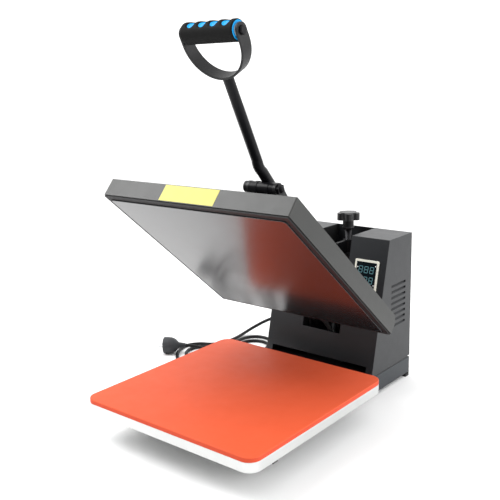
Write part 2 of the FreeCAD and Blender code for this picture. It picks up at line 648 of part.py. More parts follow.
def grip_parts():
    bow = rod_y(0, STRAP_R, STRAP_R, -STRAP_HALF, STRAP_HALF)
    bow = bow.cut(rod_y(0, STRAP_R, STRAP_R - STRAP_T, -STRAP_HALF, STRAP_HALF))
    bow = bow.cut(box(-STRAP_R, STRAP_R, -STRAP_HALF, STRAP_HALF, STRAP_R, 3 * STRAP_R))
    pieces = [bow]
    for x in (-STRAP_R, STRAP_R - STRAP_T):
        pieces.append(box(x, x + STRAP_T, -STRAP_HALF, STRAP_HALF, STRAP_R, GRIP_RISE))
        pieces.append(rod_x(0, GRIP_RISE, STRAP_HALF, x, x + STRAP_T))
    strap = joined(pieces).cut(rod_x(0, GRIP_RISE, GRIP_BOLT_R + LOOSE, -STRAP_R, STRAP_R))
    PARTS["grip_strap"] = on_lever(strap)
    foam = rod_x(0, GRIP_RISE, FOAM_R, -FOAM_HALF, FOAM_HALF)
    foam = foam.makeFillet(3.0, [e for e in foam.Edges if e.Curve.TypeId == "Part::GeomCircle"])
    foam = foam.cut(rod_x(0, GRIP_RISE, CORE_R, -FOAM_HALF, FOAM_HALF))
    for i in range(SCALLOPS):
        x = (i - (SCALLOPS - 1) / 2) * SCALLOP_PITCH
        foam = foam.cut(rod_y(x, GRIP_RISE + FOAM_R + SCALLOP_R - 5.0, SCALLOP_R, -FOAM_R, FOAM_R))
    PARTS["grip_foam"] = on_lever(foam)
    core = rod_x(0, GRIP_RISE, CORE_R, -FOAM_HALF, FOAM_HALF)
    PARTS["grip_core"] = on_lever(core.cut(rod_x(0, GRIP_RISE, GRIP_BOLT_R, -FOAM_HALF, FOAM_HALF)))
    inside = STRAP_R - STRAP_T
    washers = [rod_x(0, GRIP_RISE, 11.0, FOAM_HALF, inside), rod_x(0, GRIP_RISE, 11.0, -inside, -FOAM_HALF)]
    cutter = rod_x(0, GRIP_RISE, GRIP_BOLT_R + LOOSE, -inside, inside)
    bolt = [rod_x(0, GRIP_RISE, GRIP_BOLT_R, -STRAP_R, STRAP_R)]
    for side in (-1, 1):
        xs = sorted((side * STRAP_R, side * (STRAP_R + 5)))
        head = rod_x(0, GRIP_RISE, 7.5, xs[0], xs[1])
        flat = [e for e in head.Edges if e.BoundBox.XLength < 0.01]
        rim = [e for e in flat if abs(e.BoundBox.XMin - side * (STRAP_R + 5)) < 0.01]
        bolt.append(head.makeFillet(2.0, rim))
    PARTS["grip_bolt"] = on_lever(group([joined(bolt)] + [w.cut(cutter) for w in washers]))


# ---- pressure screw ----
BLOCK_HALF = 19.0
BLOCK_FRONT = 9.5
BLOCK_REAR = 12.0
EAR_IN = LINK_HALF + 1.0
FORK_Z = TRUNNION_Z + 29.0
BLOCK_TOP = TRUNNION_Z + 43.0
HUB_Z = 311.6
STAR_Z = 325.7
KNOB_TOP = 341.6
LOBES = 5


def screw_parts():
    y, z = TRUNNION
    block = box(-BLOCK_HALF, BLOCK_HALF, y - BLOCK_FRONT, y + BLOCK_REAR, z - 14, BLOCK_TOP)
    block = block.cut(box(-EAR_IN, EAR_IN, y - BLOCK_FRONT, y + BLOCK_REAR, z - 14, FORK_Z))
    block = block.cut(rod_x(*TRUNNION, KNEE_R, -BLOCK_HALF, BLOCK_HALF))
    block = block.cut(rod_z(0, y, ROD_R + FIT, BLOCK_TOP - 11, BLOCK_TOP))
    PARTS["trunnion_block"] = group([block, rod_x(*TRUNNION, KNEE_R, -PIN_OUT, PIN_OUT)])
    rod = rod_z(0, y, ROD_R, BLOCK_TOP - 11 + LOOSE, KNOB_TOP - 8)
    nut = hexagon((0, y, HUB_Z - 5.5), (0, 0, 1), 22.0, 5.5)
    PARTS["threaded_rod"] = group([rod, nut.cut(rod_z(0, y, ROD_R, HUB_Z - 6, HUB_Z))])
    hub = rod_z(0, y, 11.5, HUB_Z, STAR_Z + 2)
    star = [rod_z(0, y, 17.0, STAR_Z, KNOB_TOP)]
    for i in range(LOBES):
        a = math.radians(90 + i * 360 / LOBES)
        star.append(rod_z(15.5 * math.cos(a), y + 15.5 * math.sin(a), 8.5, STAR_Z, KNOB_TOP - 1))
    knob = joined([hub] + star)
    PARTS["pressure_knob"] = knob.cut(rod_z(0, y, ROD_R, HUB_Z, KNOB_TOP - 8))


# ---- controller and electrics ----
BEZEL_T = 3.0
WINDOW_W = 45.0
WINDOW_H = 52.0
WINDOW_DROP = 4.6
KEY_W = 10.0
KEY_H = 8.0
KEY_DROP = 66.0
KEY_PITCH = 14.0
KEY_TRAVEL = 1.2
KEY_STEM = 4.0              # how far a key reaches in behind the bezel
BOARD_T = 1.6
BOARD_AT = KEY_STEM + KEY_TRAVEL + 0.8
KEYS = ("key_down", "key_set", "key_up")
ROCKER_HALF = 10.8
ROCKER_DEEP = 2.0           # the rocker's pin lies this far in from the panel
ROCKER_PIN_R = 1.5


def controller_parts():
    half = BEZEL_W / 2
    bezel = box(-half, half, -BEZEL_T, 0, -BEZEL_H, 0)
    bezel = bezel.makeFillet(2.5, [e for e in bezel.Edges if abs(e.tangentAt(e.FirstParameter).y) > 0.9])
    glass = (-WINDOW_W / 2, WINDOW_W / 2, -WINDOW_DROP - WINDOW_H, -WINDOW_DROP)
    bezel = bezel.cut(box(glass[0], glass[1], -BEZEL_T, 0, glass[2], glass[3]))
    PARTS["display_window"] = on_face(box(glass[0], glass[1], -BEZEL_T + 0.6, 0, glass[2], glass[3]))
    drop = (BEZEL_H - CASE_H) / 2
    case = box(-CASE_W / 2, CASE_W / 2, 0, 34, -drop - CASE_H, -drop)
    case = case.cut(box(-CASE_W / 2 + 2, CASE_W / 2 - 2, 0, 32, -drop - CASE_H + 2, -drop - 2))
    board = box(-CASE_W / 2 + 3, CASE_W / 2 - 3, BOARD_AT, BOARD_AT + BOARD_T, -drop - CASE_H + 3, -drop - 3)
    for i, name in enumerate(KEYS):
        x = (i - 1) * KEY_PITCH
        bezel = bezel.cut(box(x - KEY_W / 2 - LOOSE, x + KEY_W / 2 + LOOSE, -BEZEL_T, 0,
                              -KEY_DROP - KEY_H - LOOSE, -KEY_DROP + LOOSE))
        key = box(x - KEY_W / 2, x + KEY_W / 2, -BEZEL_T - 1.5, KEY_STEM, -KEY_DROP - KEY_H, -KEY_DROP)
        PARTS[name] = on_face(key)
    PARTS["controller_bezel"] = on_face(bezel)
    PARTS["controller_case"] = on_face(case)
    PARTS["circuit_board"] = on_face(board)


def electric_parts():
    panel = REAR_Y + SHEET
    x, z = SWITCH_AT
    frame = box(x - SWITCH_W / 2 - 2, x + SWITCH_W / 2 + 2, panel, panel + 2, z - SWITCH_H / 2 - 2,
                z + SWITCH_H / 2 + 2)
    body = box(x - SWITCH_W / 2, x + SWITCH_W / 2, REAR_Y - 20, panel, z - SWITCH_H / 2, z + SWITCH_H / 2)
    mouth = box(x - 7, x + 7, REAR_Y - 10, panel + 2, z - 12, z + 12)
    rocker_pin = rod_x(panel - ROCKER_DEEP, z, ROCKER_PIN_R, x - 8, x + 8)
    PARTS["switch_housing"] = joined([joined([frame, body]).cut(mouth), rocker_pin])
    low, high = z - ROCKER_HALF, z + ROCKER_HALF
    back = panel - 5
    blade = [(panel + 0.4, low), (panel + 1.2, z), (panel + 2.2, high), (back, high), (back, low)]
    rocker = side_prism(blade, x - 6.6, x + 6.6)
    PARTS["power_rocker"] = rocker.cut(rod_x(panel - ROCKER_DEEP, z, ROCKER_PIN_R + FIT, x - 7, x + 7))
    x, z = FUSE_AT
    collar = rod_y(x, z, 9.0, panel, panel + SCREW_HEAD)
    PARTS["fuse_holder"] = joined([collar, rod_y(x, z, FUSE_R, REAR_Y - 28, panel)])
    left = -TOWER_W / 2 + SHEET
    PARTS["relay"] = rounded(left + 22, left + 67, REAR_Y - 78, REAR_Y - 50, DECK_TOP, DECK_TOP + 62, 2.0)


# ---- heater lead between cover and tower ----
COVER_REAR = PAD_Y + COVER / 2


def conduit_parts():
    exit_shut = (COVER_REAR, CONDUIT_Z)
    step_shut = (COVER_REAR + 28.0, CONDUIT_Z)
    start = turned(exit_shut, PIVOT, -OPEN_DEG)
    step = turned(step_shut, PIVOT, -OPEN_DEG)
    route = [start, step, (PIVOT[0] - 48, PIVOT[1] + 8), (PIVOT[0] - 22, PIVOT[1] - 22),
             (PIVOT[0] - 12, PIVOT[1] - 55), (PIVOT[0] - 12, DECK_TOP)]
    PARTS["heater_conduit"] = lead_tube([(CONDUIT_X, y, z) for y, z in route], CONDUIT_R)


# ---- mains lead ----
CORD_R = 3.75
FLOOR = CORD_R + 0.15
BOOT_L = 32.0
CORD_EXIT = (GLAND_AT[0], REAR_Y + SHEET + BOOT_L, GLAND_AT[1])
PLUG_FACE = (-388.0, PAD_Y + 192.0, 19.5)   # middle of the plug's face
PLUG_AIM = V(0.81, 0.587, 0).normalize()    # from the face towards the lead
PLUG_L = 36.0
PLUG_R = 19.0
PLUG_RIM = 15.0             # the straight rim behind the plug's face
NECK_L = 16.0
NECK_R = 7.0
CORD_END = V(*PLUG_FACE) + PLUG_AIM * (PLUG_L + NECK_L)
# the lead's bends: x, distance behind the pad's centre, height
BENDS = [
    (-100, 456, 75), (-109, 478, 74), (-131, 490, 71), (-162, 492, 67), (-198, 482, 60), (-238, 466, 49),
    (-276, 448, 35), (-303, 423, 17), (-315, 390, FLOOR), (-310, 356, FLOOR), (-311, 320, FLOOR),
    (-328, 293, FLOOR), (-356, 282, FLOOR), (-375, 256, FLOOR), (-368, 222, FLOOR), (-343, 188, FLOOR),
    (-304, 160, FLOOR), (-262, 160, FLOOR), (-226, 184, FLOOR), (-204, 224, FLOOR),
    (-192, 270, FLOOR), (-186, 318, FLOOR), (-194, 360, FLOOR), (-220, 391, FLOOR), (-252, 404, FLOOR),
    (-281, 397, FLOOR), (-296, 372, FLOOR), (-292, 338, FLOOR), (-298, 304, FLOOR), (-319, 281, FLOOR),
    (-341, 266, FLOOR), (-351, 243, FLOOR), (-342, 217, FLOOR), (-316, 197, FLOOR), (-278, 191, FLOOR),
    (-244, 211, FLOOR), (-224, 246, FLOOR), (-209, 286, FLOOR), (-203, 325, FLOOR), (-207, 352, FLOOR),
    (-222, 374, FLOOR), (-250, 379, FLOOR), (-273, 363, FLOOR), (-279, 333, FLOOR), (-272, 305, FLOOR),
    (-266, 280, FLOOR), (-277, 258, 5), (-301, 246, 11), (-327, 235, 18),
]


def cord_parts():
    x, z = GLAND_AT
    panel = REAR_Y + SHEET
    boot = Part.makeCone(8.5, CORD_R + 1.6, BOOT_L - 4, V(x, panel + 4, z), V(0, 1, 0))
    flange = rod_y(x, z, 11.0, panel, panel + 4)
    boot = joined([flange, boot, rod_y(x, z, GLAND_R, REAR_Y - 10, panel)])
    PARTS["strain_relief"] = boot
    route = [CORD_EXIT] + [(bx, PAD_Y + by, bz) for bx, by, bz in BENDS] + [CORD_END]
    PARTS["power_cord"] = lead_tube(route, CORD_R)
    aim = PLUG_AIM
    face = V(*PLUG_FACE)
    plug = joined([Part.makeCylinder(PLUG_R, PLUG_RIM, face, aim),
                   Part.makeCone(PLUG_R - 1, NECK_R, PLUG_L - PLUG_RIM, face + aim * PLUG_RIM, aim),
                   Part.makeCone(NECK_R, CORD_R + 1.2, NECK_L, face + aim * PLUG_L, aim)])
    across = V(-aim.y, aim.x, 0)
    pins = [Part.makeCylinder(2.4, 19.0, face - aim * 19.0 + across * s, aim) for s in (-9.5, 9.5)]
    PARTS["mains_plug"] = group([plug] + pins)


def main():
    base_parts()
    lower_parts()
    tower_parts()
    frame_parts()
    spring_parts()
    arm_parts()
    heated_parts()
    lever_parts()
    grip_parts()
    screw_parts()
    controller_parts()
    electric_parts()
    conduit_parts()
    cord_parts()
    os.makedirs("parts", exist_ok=True)
    for name, shape in PARTS.items():
        shape.exportStep("parts/" + name + ".step")
    print(len(PARTS), "nodes")


main()
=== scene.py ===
import math

import bmesh
import bpy
from mathutils import Matrix, Vector


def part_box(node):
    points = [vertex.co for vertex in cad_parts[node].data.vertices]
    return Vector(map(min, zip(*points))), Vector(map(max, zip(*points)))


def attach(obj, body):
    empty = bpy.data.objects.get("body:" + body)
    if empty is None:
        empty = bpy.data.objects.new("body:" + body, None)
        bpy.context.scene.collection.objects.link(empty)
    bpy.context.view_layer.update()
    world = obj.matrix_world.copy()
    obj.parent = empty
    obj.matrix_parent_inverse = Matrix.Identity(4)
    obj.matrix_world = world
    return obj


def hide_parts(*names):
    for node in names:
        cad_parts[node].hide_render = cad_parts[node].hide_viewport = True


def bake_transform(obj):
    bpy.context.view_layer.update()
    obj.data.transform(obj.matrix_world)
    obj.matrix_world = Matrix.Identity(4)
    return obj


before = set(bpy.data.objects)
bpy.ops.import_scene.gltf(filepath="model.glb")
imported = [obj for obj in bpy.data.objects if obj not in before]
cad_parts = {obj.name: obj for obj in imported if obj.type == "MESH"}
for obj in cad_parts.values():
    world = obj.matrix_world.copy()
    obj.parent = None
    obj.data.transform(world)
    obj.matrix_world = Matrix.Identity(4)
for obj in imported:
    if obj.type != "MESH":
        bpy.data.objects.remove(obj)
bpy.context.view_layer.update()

# ---- camera, floor and lights ----
# The machine stands on a pale studio floor. The room looks white, but lights it more from behind than in front.
# A wide soft light hangs over its front left, with a weaker one to its right.
eye = Vector((0.835814, -1.068044, 0.627855))
yaw, pitch, roll = math.radians(39.68), math.radians(13.08), math.radians(-1.54)
ahead = Vector((-math.sin(yaw) * math.cos(pitch), math.cos(yaw) * math.cos(pitch), -math.sin(pitch)))
level = Vector((math.cos(yaw), math.sin(yaw), 0))
upright = level.cross(ahead)
right = math.cos(roll) * level + math.sin(roll) * upright
up = math.cos(roll) * upright - math.sin(roll) * level
camera_data = bpy.data.cameras.new("studio_camera")
camera_data.lens = 54.70
camera_data.sensor_width = 36
camera = bpy.data.objects.new("studio_camera", camera_data)
camera.matrix_world = Matrix.Translation(eye) @ Matrix((right, up, -ahead)).transposed().to_4x4()
bpy.context.scene.collection.objects.link(camera)
bpy.context.scene.camera = camera

room = bpy.data.worlds.new("pale_room")
room.use_nodes = True
room_nodes = room.node_tree.nodes
room_links = room.node_tree.links
backdrop = room_nodes["Background"]
backdrop.inputs["Color"].default_value = (1.0, 1.0, 1.0, 1)
bright_side = Vector((0.45, 0.80, 0.40)).normalized()
facing = room_nodes.new("ShaderNodeTexCoord")
towards = room_nodes.new("ShaderNodeVectorMath")
towards.operation = "DOT_PRODUCT"
towards.inputs[1].default_value = bright_side
falloff = room_nodes.new("ShaderNodeMapRange")
falloff.interpolation_type = "SMOOTHSTEP"
for word, value in (("From Min", -0.55), ("From Max", 0.45), ("To Min", 0.30), ("To Max", 1.55)):
    falloff.inputs[word].default_value = value
room_links.new(facing.outputs["Generated"], towards.inputs[0])
room_links.new(towards.outputs["Value"], falloff.inputs["Value"])
looked_at = room_nodes.new("ShaderNodeLightPath")
brighter = room_nodes.new("ShaderNodeMath")
brighter.operation = "MAXIMUM"
room_links.new(falloff.outputs["Result"], brighter.inputs[0])
room_links.new(looked_at.outputs["Is Camera Ray"], brighter.inputs[1])
room_links.new(brighter.outputs["Value"], backdrop.inputs["Strength"])
bpy.context.scene.world = room
bpy.context.scene.view_settings.view_transform = "Standard"


def softbox(name, place, aim, width, watts):
    light = bpy.data.lights.new(name, "AREA")
    light.size = width
    light.energy = watts
    lamp = bpy.data.objects.new(name, light)
    lamp.location = place
    lamp.rotation_euler = (Vector(aim) - Vector(place)).to_track_quat("-Z", "Y").to_euler()
    bpy.context.scene.collection.objects.link(lamp)


softbox("key_light", (-1.3, -0.9, 1.9), (0, -0.1, 0.4), 1.5, 46)
softbox("fill_light", (2.0, 0.9, 1.0), (0, 0, 0.2), 1.4, 14)


class Wire:
    """One socket of a finish, so that a pattern can be written as sums."""

    def __init__(self, finish, socket):
        self.finish = finish
        self.socket = socket

    def maths(self, operation, first, second):
        return self.finish.node("Math", {"operation": operation}, {0: first, 1: second})

    def __add__(self, other):
        return self.maths("ADD", self, other)

    def __radd__(self, other):
        return self.maths("ADD", other, self)

    def __sub__(self, other):
        return self.maths("SUBTRACT", self, other)

    def __rsub__(self, other):
        return self.maths("SUBTRACT", other, self)

    def __mul__(self, other):
        return self.maths("MULTIPLY", self, other)

    def __rmul__(self, other):
        return self.maths("MULTIPLY", other, self)

    def __pow__(self, other):
        return self.maths("POWER", self, other)

    def __gt__(self, other):
        return self.maths("GREATER_THAN", self, other)

    def __lt__(self, other):
        return self.maths("LESS_THAN", self, other)


class Finish:
    """A material as it is mixed: its shader, and the nodes that vary it over a surface."""

    def __init__(self, name, even):
        self.material = bpy.data.materials.new(name)
        self.material.use_nodes = True
        self.tree = self.material.node_tree
        self.shader = self.tree.nodes["Principled BSDF"]
        for word, value in even.items():
            self.shader.inputs[word].default_value = value
        self.place = self.node("TexCoord", out="Object")

    def node(self, kind, settings=None, values=None, out=0):
        made = self.tree.nodes.new("ShaderNode" + kind)
        for word, value in (settings or {}).items():
            setattr(made, word, value)
        for word, value in (values or {}).items():
            if isinstance(value, Wire):
                self.tree.links.new(value.socket, made.inputs[word])
            else:
                made.inputs[word].default_value = value
        return Wire(self, made.outputs[out])

    def noise(self, size, detail=2.0, stretch=(1, 1, 1)):
        place = self.node("Mapping", values={"Vector": self.place, "Scale": stretch})
        return self.node("TexNoise", values={"Vector": place, "Scale": 1 / size, "Detail": detail})

    def between(self, share, first, second):
        colours = [colour if isinstance(colour, Wire) else (*colour, 1) for colour in (first, second)]
        return self.node("Mix", {"data_type": "RGBA"}, {0: share, 6: colours[0], 7: colours[1]}, out=2)

    def feed(self, word, wire):
        self.tree.links.new(wire.socket, self.shader.inputs[word])

    def relief(self, height, depth):
        bump = self.node("Bump", values={"Height": height, "Distance": depth, "Strength": 1.0})
        self.feed("Normal", bump)


def coat_nodes(finish, *names):
    for name in names:
        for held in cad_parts[name].material_slots:
            held.material = finish.material


floor_finish = Finish("studio_floor", {"Roughness": 0.9})
floor_tone = floor_finish.between(floor_finish.noise(0.9), (0.93, 0.93, 0.93), (0.96, 0.96, 0.96))
floor_finish.feed("Base Color", floor_tone)
floor_half = 12
floor_shape = bmesh.new()
bmesh.ops.create_grid(floor_shape, x_segments=1, y_segments=1, size=floor_half)
floor_mesh = bpy.data.meshes.new("studio_floor")
floor_shape.to_mesh(floor_mesh)
floor_mesh.materials.append(floor_finish.material)
studio_floor = bpy.data.objects.new("studio_floor", floor_mesh)
bpy.context.scene.collection.objects.link(studio_floor)

# ---- mains lead ----
# A three-core lead in a black rubber sheath, with a moulded round plug and a ribbed boot at the rear panel.
# It leaves the panel level, drops to the bench and lies in two loose loops.
pad_low, pad_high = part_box("silicone_pad")
pad_y = (pad_low.y + pad_high.y) / 2
boot_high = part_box("strain_relief")[1]
lead_exit = Vector((-0.100, boot_high.y, 0.075))
lead_radius = 0.00375
bench = 0.0039
# the lead's points: x, distance behind the pad's centre, height
lead_route = [
    (-0.100, 0.456, 0.075), (-0.109, 0.478, 0.074), (-0.131, 0.490, 0.071), (-0.162, 0.492, 0.067),
    (-0.198, 0.482, 0.060), (-0.238, 0.466, 0.049), (-0.276, 0.448, 0.035), (-0.303, 0.423, 0.017),
    (-0.315, 0.390, bench), (-0.310, 0.356, bench), (-0.311, 0.320, bench), (-0.328, 0.293, bench),
    (-0.356, 0.282, bench), (-0.375, 0.256, bench), (-0.368, 0.222, bench), (-0.343, 0.188, bench),
    (-0.304, 0.160, bench), (-0.262, 0.160, bench), (-0.226, 0.184, bench), (-0.204, 0.224, bench),
    (-0.192, 0.270, bench), (-0.186, 0.318, bench), (-0.194, 0.360, bench), (-0.220, 0.391, bench),
    (-0.252, 0.404, bench), (-0.281, 0.397, bench), (-0.296, 0.372, bench), (-0.292, 0.338, bench),
    (-0.298, 0.304, bench), (-0.319, 0.281, bench), (-0.341, 0.266, bench), (-0.351, 0.243, bench),
    (-0.342, 0.217, bench), (-0.316, 0.197, bench), (-0.278, 0.191, bench), (-0.244, 0.211, bench),
    (-0.224, 0.246, bench), (-0.209, 0.286, bench), (-0.203, 0.325, bench), (-0.207, 0.352, bench),
    (-0.222, 0.374, bench), (-0.250, 0.379, bench), (-0.273, 0.363, bench), (-0.279, 0.333, bench),
    (-0.272, 0.305, bench), (-0.266, 0.280, bench), (-0.277, 0.258, 0.005), (-0.301, 0.246, 0.011),
    (-0.327, 0.235, 0.018),
]
plug_face = Vector((-0.388, pad_y + 0.192, 0.0195))
plug_aim = Vector((0.81, 0.587, 0)).normalized()
plug_length = 0.036
neck_length = 0.016
lead_points = [lead_exit] + [Vector((x, pad_y + y, z)) for x, y, z in lead_route]
lead_points.append(plug_face + plug_aim * (plug_length + neck_length))


def rubber(name, dark, pale, roughness):
    finish = Finish(name, {"Specular IOR Level": 0.25})
    mottle = finish.noise(0.012)
    finish.feed("Base Color", finish.between(mottle, dark, pale))
    finish.feed("Roughness", roughness + 0.15 * mottle)
    finish.relief(finish.noise(0.0009), 0.00006)
    return finish


sheath = rubber("lead_sheath", (0.004, 0.004, 0.005), (0.009, 0.009, 0.010), 0.38)
plug_rubber = rubber("plug_rubber", (0.035, 0.037, 0.040), (0.055, 0.058, 0.062), 0.42)
lead_curve = bpy.data.curves.new("mains_lead", "CURVE")
lead_curve.dimensions = "3D"
lead_curve.bevel_depth = lead_radius
lead_curve.bevel_resolution = 4
lead_curve.resolution_u = 8
lead_curve.use_fill_caps = True
lead_spline = lead_curve.splines.new("NURBS")
lead_spline.points.add(len(lead_points) - 1)
for knot, point in zip(lead_spline.points, lead_points):
    knot.co = (*point, 1)
lead_spline.order_u = 3
lead_spline.use_endpoint_u = True
lead_curve.materials.append(sheath.material)
mains_lead = bpy.data.objects.new("mains_lead", lead_curve)
bpy.context.scene.collection.objects.link(mains_lead)
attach(mains_lead, "frame")
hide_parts("power_cord")


def lathe(outline, centre, axis, steps=40):
    """A round shape from an outline of (radius, distance along) points, spun about an axis."""
    shape = bmesh.new()
    knots = [shape.verts.new((r, 0, along)) for r, along in outline]
    for first, second in zip(knots, knots[1:]):
        shape.edges.new((first, second))
    bmesh.ops.spin(shape, geom=shape.verts[:] + shape.edges[:], cent=(0, 0, 0), axis=(0, 0, 1),
                   dvec=(0, 0, 0), angle=2 * math.pi, steps=steps, use_merge=True, use_duplicate=False)
    bmesh.ops.remove_doubles(shape, verts=shape.verts, dist=1e-6)
    turn = Vector((0, 0, 1)).rotation_difference(Vector(axis)).to_matrix()
    bmesh.ops.rotate(shape, verts=shape.verts, cent=(0, 0, 0), matrix=turn)
    bmesh.ops.translate(shape, verts=shape.verts, vec=centre)
    bmesh.ops.recalc_face_normals(shape, faces=shape.faces)
    return shape


def settle(name, shapes, finish, body, smooth=35, replaced=()):
    """Makes one piece of some shapes, and gives it its finish, its body and the nodes it stands for."""
    whole = bmesh.new()
    for shape in shapes:
        part = bpy.data.meshes.new(name)
        shape.to_mesh(part)
        whole.from_mesh(part)
        bpy.data.meshes.remove(part)
        shape.free()
    mesh = bpy.data.meshes.new(name)
    whole.to_mesh(mesh)
    whole.free()
    mesh.shade_smooth()
    mesh.set_sharp_from_angle(angle=math.radians(smooth))
    mesh.materials.append(finish.material)
    piece = bpy.data.objects.new(name, mesh)
    bpy.context.scene.collection.objects.link(piece)
    if body:
        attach(piece, body)
    if replaced:
        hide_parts(*replaced)
    return piece


def ribbed(count, start, pitch, girth, taper, profile):
    """Outline points of a row of ribs; each rib repeats the profile's (depth sunk, distance along) points."""
    return [(girth - rib * taper - sunk, start + rib * pitch + along)
            for rib in range(count) for sunk, along in profile]


groove = 0.0012
plug_end = plug_length + neck_length
plug_outline = [(0, 0), (0.0155, 0), (0.0168, 0.0006), (0.0186, 0.002), (0.0190, 0.004), (0.0190, 0.0125),
                (0.0188, 0.016), (0.0182, 0.020), (0.0170, 0.024), (0.0148, 0.028), (0.0118, 0.0315),
                (0.0085, 0.0345)]
neck_rib = ((0, 0), (0, 0.0014), (groove, 0.0018), (groove, 0.0026))
plug_outline += ribbed(5, 0.0362, 0.003, 0.0072, 0.00045, neck_rib)
plug_outline += [(0.0042, plug_end), (0, plug_end)]
across = Vector((-plug_aim.y, plug_aim.x, 0))
clip_size = (0.011, 0.005, 0.0022)
clip_along, clip_out = 0.008, 0.0182
clip_turn = Matrix.Rotation(plug_aim.to_2d().angle_signed(Vector((1, 0))), 3, "Z")
plug_shapes = [lathe(plug_outline, plug_face, plug_aim)]
for side in (-1, 1):
    clip = bmesh.new()
    bmesh.ops.create_cube(clip, size=1)
    bmesh.ops.scale(clip, verts=clip.verts, vec=clip_size)
    bmesh.ops.bevel(clip, geom=clip.edges[:], offset=0.0007, affect="EDGES", segments=2, profile=0.5,
                    material=-1)
    bmesh.ops.rotate(clip, verts=clip.verts, cent=(0, 0, 0), matrix=clip_turn)
    clip_place = plug_face + plug_aim * clip_along + Vector((0, 0, side * clip_out))
    bmesh.ops.translate(clip, verts=clip.verts, vec=clip_place)
    plug_shapes.append(clip)
plug = settle("plug_body", plug_shapes, plug_rubber, "frame", replaced=["mains_plug"])


def metal(name, dark, pale, roughness, stretch=(1, 1, 1), grain=0.002):
    finish = Finish(name, {"Metallic": 1.0})
    finish.feed("Base Color", finish.between(finish.noise(0.03), dark, pale))
    finish.feed("Roughness", roughness + 0.12 * finish.noise(grain, stretch=stretch))
    finish.relief(finish.noise(grain, stretch=stretch), 0.00003)
    return finish


zinc = metal("zinc_plate", (0.55, 0.56, 0.57), (0.68, 0.69, 0.70), 0.26)
pin_outline = [(0, 0.0), (0.0024, 0.0), (0.0024, -0.0178), (0.0018, -0.019), (0, -0.019)]
pin_off = 0.0095
pins = [lathe(pin_outline, plug_face + across * side * pin_off, plug_aim, 16) for side in (-1, 1)]
plug_pins = settle("plug_pins", pins, zinc, "frame")

boot_outline = [(0, 0), (0.011, 0), (0.011, 0.0034), (0.0104, 0.004)]
boot_rib = ((groove, 0), (0, 0.0008), (0, 0.0024), (groove, 0.0032))
boot_outline += ribbed(6, 0.005, 0.0044, 0.0086, 0.00055, boot_rib)
boot_length = boot_high.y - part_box("rear_panel")[1].y
boot_outline += [(0.0046, boot_length), (0, boot_length)]
boot_shape = lathe(boot_outline, lead_exit - Vector((0, boot_length, 0)), (0, 1, 0))
boot = settle("lead_boot", [boot_shape], sheath, "frame", replaced=["strain_relief"])

# ---- base ----
# Two square steel tubes with cross members and a deck welded over them, painted black.
# Rubber caps close the tubes. The rear feet are in one with theirs, and the front feet stand further back.


def paint(name, dark, pale, roughness, peel, shine=0.5):
    finish = Finish(name, {"Specular IOR Level": shine})
    cloud = finish.noise(0.06)
    finish.feed("Base Color", finish.between(cloud, dark, pale))
    finish.feed("Roughness", roughness + 0.10 * finish.noise(0.018))
    finish.relief(finish.noise(0.0011), peel)
    return finish


frame_paint = paint("frame_paint", (0.006, 0.006, 0.007), (0.010, 0.010, 0.011), 0.34, 0.00005, 0.35)
base_paint = paint("base_paint", (0.020, 0.024, 0.029), (0.027, 0.032, 0.038), 0.38, 0.00006, 0.38)
coat_nodes(base_paint, "base_rail_left", "base_rail_right")
coat_nodes(frame_paint, "cross_members", "deck_plate")
coat_nodes(rubber("foot_rubber", (0.010, 0.010, 0.011), (0.020, 0.020, 0.021), 0.55), "rail_feet")

# ---- lower platen ----
# A thick aluminium plate with rounded corners stands on four posts bolted to the deck.
# Its sides are milled, and its top is under the pad.


def rounded_copy(name, node, body, finish, width, segments=2):
    """A copy of a node with its sharp edges broken, standing in for it."""
    shape = bmesh.new()
    shape.from_mesh(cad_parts[node].data)
    bmesh.ops.remove_doubles(shape, verts=shape.verts, dist=2e-6)
    bmesh.ops.dissolve_limit(shape, angle_limit=math.radians(1), verts=shape.verts, edges=shape.edges)
    piece = settle(name, [shape], finish, body, 30, [node])
    edges = piece.modifiers.new("broken_edges", "BEVEL")
    edges.width = width
    edges.segments = segments
    edges.limit_method = "ANGLE"
    edges.angle_limit = math.radians(35)
    edges.harden_normals = True
    edges.use_clamp_overlap = True
    return piece


milled = metal("milled_aluminium", (0.62, 0.63, 0.62), (0.70, 0.71, 0.70), 0.30, (1, 1, 14), 0.004)
rounded_copy("lower_plate", "lower_platen", "frame", milled, 0.0008)
coat_nodes(zinc, "platen_posts", "platen_bolts")

# ---- silicone pad ----
# An orange silicone sponge sheet glued to the plate, cut square with rounded corners.
# Its skin is nearly smooth, and its sides carry a little painted shade.
silicone = Finish("orange_silicone", {"Specular IOR Level": 0.18})
shade_start_depth = 0.0014
mottle = silicone.noise(0.05, 4.0)
# painted shade: below a thin band at the top, the pad's sides are mixed towards a darker red
pad_side_shade = silicone.node("SeparateXYZ", values={0: silicone.place}, out=2) < pad_high.z - shade_start_depth
blush = silicone.between(mottle, (0.70, 0.096, 0.035), (0.77, 0.114, 0.045))
silicone.feed("Base Color", silicone.between(pad_side_shade * 0.6, blush, (0.55, 0.05, 0.02)))
silicone.feed("Roughness", 0.48 + 0.14 * silicone.noise(0.02))
silicone.relief(silicone.noise(0.0014), 0.00005)
corner_radius, top_radius = 0.022, 0.0013
pad_z = pad_low.z + 0.004               # above this only the upper rim's corners are left
pad_shape = bmesh.new()
bmesh.ops.create_cube(pad_shape, size=1)
bmesh.ops.scale(pad_shape, verts=pad_shape.verts, vec=pad_high - pad_low)
bmesh.ops.translate(pad_shape, verts=pad_shape.verts, vec=(pad_low + pad_high) / 2)
uprights = [e for e in pad_shape.edges if abs(e.verts[0].co.z - e.verts[1].co.z) > 0.001]
bmesh.ops.bevel(pad_shape, geom=uprights, offset=corner_radius, affect="EDGES", segments=14, profile=0.5,
                material=-1)
rim = [e for e in pad_shape.edges
       if e.is_manifold and e.calc_face_angle(0) > 1.2 and e.verts[0].co.z > pad_z]
